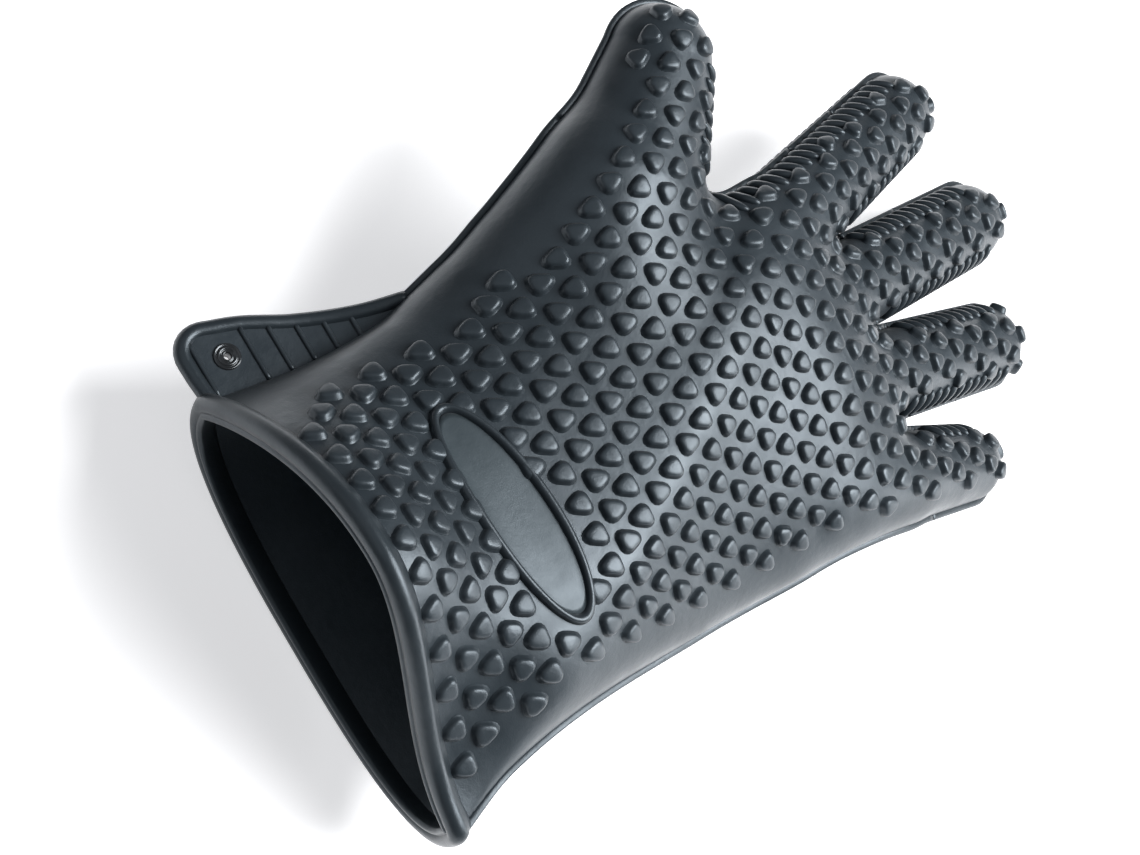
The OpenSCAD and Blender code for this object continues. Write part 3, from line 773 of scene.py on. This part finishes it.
def rib_pieces():
    """Close ribs that run up from the fin on the sides of the fingers, on the back and on the palm."""
    by_zone = {}
    steps = len(RIB_SWELL)
    angles = np.radians(np.linspace(RIB_FROM, RIB_TO, steps))
    lean = RIB_LEAN * np.linspace(0, 1, steps) ** 1.5
    for name, side, first, last in RIB_RUNS:
        root, direction, left = axis_of(name)
        forward = np.append(direction, 0)
        for k in range(int((last - first) / RIB_PITCH) + 1):
            centre = np.append(root + direction * (first + RIB_PITCH * k), 0.0)
            for face in (1, -1):
                base = centre + np.outer(lean, forward)
                ray = np.outer(np.cos(angles) * side, np.append(left, 0))
                ray[:, 2] = np.sin(angles) * face
                far = skin_on_ray(base, ray, RIB_RAY, rounds=20)[0]
                if far.max() > RIB_RAY - 4:  # the ray runs on into the next finger or the palm
                    continue
                spine = base + ray * far[:, None]
                rings = []
                for q, n, w in zip(spine, unit(slope_of(spine)), RIB_SWELL):
                    across = unit(forward - n * (forward @ n))
                    wide, high = RIB_HALF_WIDTH * w, RIB_HEIGHT * w
                    rings.append([
                        q + across * (wide * math.cos(a)) + n * (high * math.sin(a) + 0.05)
                        for a in np.linspace(0, 2 * math.pi, 10, endpoint=False)
                    ])
                by_zone.setdefault(int(zones_of(spine[:1])[0]), []).append(loft(rings))
    for number, ribs in sorted(by_zone.items()):
        name = "hand_side_ribs" if number == 0 else f"{zone_name(number)}_side_ribs"
        obj = make_object(name, *merge(ribs), None, "silicone", thumb=zone_is_thumb(number))
        attach(obj, number)


# ---------------------------------------------------------------- cuff, badge and tab


def arc(cx, cy, r, start, end, n):
    """Points on an arc, from one angle to the other, in degrees."""
    return [
        (cx + r * math.cos(math.radians(a)), cy + r * math.sin(math.radians(a)))
        for a in np.linspace(start, end, n)
    ]


# Cuff rim in section, (x, distance out of the skin): outer roll, groove, inner lip
CUFF_PROFILE = (
    [(5.2, -0.35), (4.5, 0.05)]
    + arc(1.2, -0.6, 2.75, 50, 205, 15)
    + [(-1.05, -2.05)]
    + arc(-0.35, -3.2, 1.15, 120, 270, 9)
    + [(1.2, -4.2), (3.4, -3.6), (5.2, -2.6)]
)


def cuff_rim():
    """The rolled rim round the mouth, with its groove and inner lip."""
    n = 720
    centre = np.array([0.0, (THUMB_SIDE[0][1] + LITTLE_SIDE[0][1]) / 2, 0.0])
    angles = np.linspace(0, 2 * math.pi, n, endpoint=False)
    half = (THUMB_SIDE[0][1] - LITTLE_SIDE[0][1]) / 2
    ray = np.stack([np.zeros(n), half * np.cos(angles), 34 * np.sin(angles)], -1)
    far = skin_on_ray(np.tile(centre, (n, 1)), ray, 1.6)[0]
    line = centre + ray * far[:, None]
    line = resample(np.vstack([line, line[:1]]), 1.6)[:-1]
    out = slope_of(line)
    out[:, 0] = 0
    out = unit(out)
    for _ in range(3):
        out = unit(np.roll(out, 1, 0) + 2 * out + np.roll(out, -1, 0))
    rings = [[q + np.array([x, 0, 0]) + o * d for x, d in CUFF_PROFILE] for q, o in zip(line, out)]
    pts, fcs = loft(rings, closed_path=True)
    obj = make_object("cuff_rim", pts, fcs, "hand", "silicone_edge")
    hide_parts("cuff_bead")


def badge_at(angle, short_share, long_share):
    """Flat places on an oval round the badge's middle, whose radii are shares of the badge's."""
    a = math.radians(BADGE_TILT)
    u, v = short_share * BADGE_SHORT * np.cos(angle), long_share * BADGE_LONG * np.sin(angle)
    return BADGE_X + u * math.cos(a) - v * math.sin(a), BADGE_Y + u * math.sin(a) + v * math.cos(a)


def on_back(x, y, rise):
    """Flat places on the back's skin, raised along its normal."""
    q = np.stack([x, y, surface_height(x, y)], -1)
    return q + unit(slope_of(q)) * rise[:, None]


def badge():
    """The oval badge: a raised round rim and a smooth plate, with no mark on it."""
    n = 120
    angles = np.linspace(0, 2 * math.pi, n, endpoint=False)
    # The rim in section: (distance from its middle line, height over the skin)
    section = [
        (-1.6, -0.35), (-1.4, 0.25), (-1.18, 1.05), (-0.7, 1.7), (0, 1.95), (0.7, 1.7), (1.18, 1.05),
        (1.4, 0.25), (1.6, -0.35),
    ]
    rings = [
        on_back(*badge_at(angles, 1 + d / BADGE_SHORT, 1 + d / BADGE_LONG), np.full(n, rise))
        for d, rise in section
    ]
    pts, fcs = loft(np.swapaxes(np.array(rings), 0, 1), closed_path=True)
    rim = make_object("badge_rim_oval", pts, fcs, "hand", "silicone_edge")
    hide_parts("badge_rim")
    shares = [0.14, 0.22, 0.32, 0.45, 0.6, 0.72, 0.82, 0.9, 0.95]
    rises = [0.2, 0.2, 0.2, 0.2, 0.2, 0.2, 0.22, 0.3, 0.45]
    top = [on_back(*badge_at(angles, s, s), np.full(n, r)) for s, r in zip(shares, rises)]
    under = [on_back(*badge_at(angles, s, s), np.full(n, -0.5)) for s in reversed(shares)]
    pts, fcs = loft(np.array(top + under))
    plate = make_object("badge_plate_oval", pts, fcs, "hand", "silicone_smooth")
    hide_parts("badge_plate")


def tab_edge_y(x):
    """How far across the hand the tab reaches at x."""
    cx, cy, r = TAB_CORNER
    round_corner = cy + np.sqrt(np.clip(r * r - (x - cx) ** 2, 0, None))
    return np.where(x < TAB_CORNER_TO, round_corner, curve(x, TAB_EDGE))


def tab_outline():
    """The free edge of the hanging tab, from the cuff round the corner to the hand."""
    cx, cy, r = TAB_CORNER
    corner = arc(cx, cy, r, 178, 78, 14)
    edge = [(x, float(curve(np.array(x), TAB_EDGE))) for x in np.arange(12.5, TAB_END_X + 1, 2.5)]
    return np.array([(3.0, 68.0), (2.6, 71.5), (2.25, 75.5)] + corner + edge)


def tab():
    """The hanging tab: web, rounded edge bead and stiffening ribs."""
    line = resample(tab_outline(), 1.5)
    d = np.gradient(line, axis=0)
    left = unit(np.stack([-d[:, 1], d[:, 0]], -1))
    section = arc(0, 0, 1.0, 0, 330, 12)
    wide, thick = TAB_BEAD
    rings = [
        [[q[0] + o[0] * wide * a, q[1] + o[1] * wide * a, thick * b] for a, b in section]
        for q, o in zip(line, left)
    ]
    pts, fcs = loft(rings)
    bead = make_object("tab_edge_bead", pts, fcs, "hand", "silicone_edge")
    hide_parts("tab_bead")
    # The web, as strips from the hand's outline to the tab's edge
    xs = np.concatenate([[2.4, 3.2, 4.2, 5.4, 7.0], np.arange(8.5, TAB_END_X + 0.1, 1.5)])
    outer = tab_edge_y(xs)
    inner = curve(xs, THUMB_SIDE) - 1.0
    across = 17
    top, under = [], []
    for x, a, b in zip(xs, inner, outer):
        y = np.linspace(a, max(a + 0.4, b), across)
        top.append(np.stack([np.full(across, x), y, np.full(across, TAB_T / 2)], -1))
        under.append(np.stack([np.full(across, x), y, np.full(across, -TAB_T / 2)], -1))
    rings = [np.concatenate([t, u[::-1]]) for t, u in zip(top, under)]
    pts, fcs = loft(rings)
    web = make_object("tab_web_sheet", pts, fcs, "hand", "silicone", smooth=False)
    bore_web(web)
    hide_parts("tab_web", "tab_corner")
    solids = []
    section = arc(0, 0, 1.0, 0, 324, 10)
    wide, high = TAB_RIB
    for x in TAB_RIBS:
        a, b = float(curve(np.array(x), THUMB_SIDE)) - 0.5, float(tab_edge_y(np.array(x)))
        for side in (1, -1):
            rings = [
                [[x + wide * p, y, side * (TAB_T / 2 + high * q - 0.1)] for p, q in section]
                for y in np.linspace(a, b - 0.8, 9)
            ]
            solids.append(loft(rings))
    ribs = make_object("tab_stiffening_ribs", *merge(solids), "hand", "silicone_edge")
    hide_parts("tab_ribs")


def bore_web(web):
    """Opens the web where the eyelet sits."""
    spot = place([EYELET_X, EYELET_Y, 0.0])
    bpy.ops.mesh.primitive_cylinder_add(vertices=48, radius=EYELET_SEAT_R / 1000, depth=0.02, location=spot)
    cutter = bpy.context.active_object
    cutter.rotation_euler = (0, -math.radians(PITCH), 0)
    hole = web.modifiers.new("hole", "BOOLEAN")
    hole.object = cutter
    hole.operation = "DIFFERENCE"
    hole.solver = "EXACT"
    bpy.context.view_layer.objects.active = web
    bpy.ops.object.modifier_apply(modifier=hole.name)
    bpy.data.objects.remove(cutter, do_unlink=True)


def eyelet():
    """The eyelet in the tab: round steps on both faces, and an open bore."""
    half = TAB_T / 2
    # The upper face in section, from the bore outwards: (radius, height off the seam plane)
    steps = [
        (1.0, half + 0.35), (1.1, half + 0.6), (1.3, half + 0.68), (1.5, half + 0.5), (1.66, half + 0.3),
        (1.84, half + 0.34), (2.05, half + 0.68), (2.3, half + 0.76), (2.6, half + 0.7), (2.8, half + 0.4),
        (2.98, half + 0.25), (3.15, half + 0.4), (3.35, half + 0.55), (3.62, half + 0.5), (3.8, half + 0.1),
        (3.85, half - 0.15),
    ]
    profile = steps + [(3.85, -half + 0.15), (3.7, -half - 0.5), (2.8, -half - 0.8), (1.3, -half - 0.8)]
    profile += [(1.0, -half - 0.5)]
    n = 64
    rings = [
        [[EYELET_X + r * math.cos(a), EYELET_Y + r * math.sin(a), h] for r, h in profile]
        for a in [2 * math.pi * k / n for k in range(n)]
    ]
    pts, fcs = loft(rings, closed_path=True)
    obj = make_object("hanging_eyelet", pts, fcs, "hand", "gloss_silicone")
    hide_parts("hang_eyelet")


# ---------------------------------------------------------------- materials


def silicone(name, colour, dark, rough, grain, gloss=0.0, dust=0.0):
    """Moulded silicone rubber: mottled colour, fine grain, uneven sheen and a trace of dust."""
    mat = bpy.data.materials.new(name)
    mat.use_nodes = True
    nodes, links = mat.node_tree.nodes, mat.node_tree.links
    shader = nodes["Principled BSDF"]
    shader.inputs["IOR"].default_value = 1.5
    shader.inputs["Specular Tint"].default_value = (0.8, 0.91, 1.0, 1)
    shader.inputs["Coat Weight"].default_value = gloss
    shader.inputs["Coat Roughness"].default_value = 0.12
    shader.inputs["Sheen Weight"].default_value = dust
    shader.inputs["Sheen Roughness"].default_value = 0.5
    where = nodes.new("ShaderNodeTexCoord")

    def noise(scale, detail, roughness=0.5):
        n = nodes.new("ShaderNodeTexNoise")
        n.inputs["Scale"].default_value = scale
        n.inputs["Detail"].default_value = detail
        n.inputs["Roughness"].default_value = roughness
        links.new(where.outputs["Object"], n.inputs["Vector"])
        return n

    def ramp(source, low, high, a, b):
        r = nodes.new("ShaderNodeMapRange")
        r.inputs["From Min"].default_value = low
        r.inputs["From Max"].default_value = high
        r.inputs["To Min"].default_value = a
        r.inputs["To Max"].default_value = b
        links.new(source.outputs["Fac"], r.inputs["Value"])
        return r

    mottle = noise(38, 4, 0.55)
    mix = nodes.new("ShaderNodeMix")
    mix.data_type = "RGBA"
    mix.inputs["A"].default_value = (*dark, 1)
    mix.inputs["B"].default_value = (*colour, 1)
    links.new(ramp(mottle, 0.3, 0.62, 0, 1).outputs["Result"], mix.inputs["Factor"])
    links.new(mix.outputs["Result"], shader.inputs["Base Color"])
    smear = noise(90, 3)
    links.new(ramp(smear, 0.3, 0.7, rough - 0.07, rough + 0.08).outputs["Result"], shader.inputs["Roughness"])
    fine = noise(2600, 3, 0.6)
    soft = noise(420, 2)
    bump_fine = nodes.new("ShaderNodeBump")
    bump_fine.inputs["Strength"].default_value = grain
    bump_fine.inputs["Distance"].default_value = 0.00012
    links.new(fine.outputs["Fac"], bump_fine.inputs["Height"])
    bump_soft = nodes.new("ShaderNodeBump")
    bump_soft.inputs["Strength"].default_value = grain * 0.6
    bump_soft.inputs["Distance"].default_value = 0.0004
    links.new(soft.outputs["Fac"], bump_soft.inputs["Height"])
    links.new(bump_soft.outputs["Normal"], bump_fine.inputs["Normal"])
    links.new(bump_fine.outputs["Normal"], shader.inputs["Normal"])
    return mat


def flat_material(name, colour, rough, glow):
    """An even matt material that also glows a little, so that the floor reads as a white sweep."""
    mat = bpy.data.materials.new(name)
    mat.use_nodes = True
    shader = mat.node_tree.nodes["Principled BSDF"]
    shader.inputs["Base Color"].default_value = (*colour, 1)
    shader.inputs["Roughness"].default_value = rough
    shader.inputs["Emission Color"].default_value = (*colour, 1)
    shader.inputs["Emission Strength"].default_value = glow
    return mat


# Each has its lighter and its darker colour, in linear light: a dark slate grey, lighter on the plate
MATERIALS = {
    "silicone": silicone(
        "slate_silicone", (0.0165, 0.0225, 0.0275), (0.012, 0.0165, 0.0205), rough=0.38, grain=0.35, dust=0.03
    ),
    "silicone_edge": silicone(
        "slate_silicone_edge", (0.014, 0.019, 0.023), (0.0105, 0.0145, 0.018),
        rough=0.36, grain=0.3, dust=0.03,
    ),
    "silicone_smooth": silicone(
        "slate_silicone_smooth", (0.023, 0.032, 0.037), (0.019, 0.027, 0.032),
        rough=0.42, grain=0.2, dust=0.05,
    ),
    "gloss_silicone": silicone(
        "black_gloss_silicone", (0.012, 0.013, 0.014), (0.009, 0.01, 0.011), rough=0.22, grain=0.15, gloss=0.6
    ),
}

# ---------------------------------------------------------------- stage, light and camera

# Where the camera stands, in metres, and the directions of its right-hand side and its view
CAMERA_AT = (-0.35821, -0.08656, 0.59719)
CAMERA_RIGHT = (0.77724, -0.51705, 0.35856)
CAMERA_VIEW = (0.48292, 0.12489, -0.86671)


def camera():
    """The camera that the picture is taken with."""
    data = bpy.data.cameras.new("camera")
    data.lens = 75.0
    data.sensor_width = 36.0
    data.clip_start = 0.02
    cam = bpy.data.objects.new("camera", data)
    bpy.context.scene.collection.objects.link(cam)
    view = Vector(CAMERA_VIEW).normalized()
    right = Vector(CAMERA_RIGHT)
    right = (right - view * right.dot(view)).normalized()
    up = right.cross(view)
    basis = Matrix((right, up, -view)).transposed()
    cam.matrix_world = Matrix.Translation(CAMERA_AT) @ basis.to_4x4()
    bpy.context.scene.camera = cam


def area_light(name, at, aim, size, power, colour=(1, 1, 1)):
    """A square light of a size in metres and a power in watts, turned towards aim."""
    data = bpy.data.lights.new(name, "AREA")
    data.energy = power
    data.size = size
    data.color = colour
    lamp = bpy.data.objects.new(name, data)
    bpy.context.scene.collection.objects.link(lamp)
    lamp.location = at
    lamp.rotation_euler = (Vector(aim) - Vector(at)).to_track_quat("-Z", "Y").to_euler()


def stage():
    """A white floor and a studio's light."""
    mesh = bpy.data.meshes.new("floor")
    half = 6.0
    low = -0.0017  # just under the nubs of the palm and the fingertips
    corners = [(-half, -half, low), (half, -half, low), (half, half, low), (-half, half, low)]
    mesh.from_pydata(corners, [], [(0, 1, 2, 3)])
    floor = bpy.data.objects.new("floor", mesh)
    bpy.context.scene.collection.objects.link(floor)
    mesh.materials.append(flat_material("floor", (0.93, 0.93, 0.94), 0.85, 0.55))
    world = bpy.data.worlds.new("studio")
    world.use_nodes = True
    world.node_tree.nodes["Background"].inputs["Color"].default_value = (0.93, 0.95, 1.0, 1)
    world.node_tree.nodes["Background"].inputs["Strength"].default_value = 0.17
    bpy.context.scene.world = world
    aim = (0.0, 0.0, 0.04)
    area_light("key", (0.65, -0.52, 1.0), aim, size=0.85, power=38)
    area_light("low", (0.9, -0.95, 0.2), aim, size=0.5, power=5.5)
    area_light("fill", (-0.7, 0.5, 1.1), aim, size=1.2, power=2.0, colour=(0.95, 0.97, 1.0))
    bpy.context.scene.view_settings.view_transform = "Standard"


camera()
stage()
skin_points, seam_edges, seam_zone = skin_pieces()
seam_fins(skin_points, seam_edges, seam_zone)
nub_pieces()
rib_pieces()
cuff_rim()
badge()
tab()
eyelet()

bpy.context.view_layer.update()
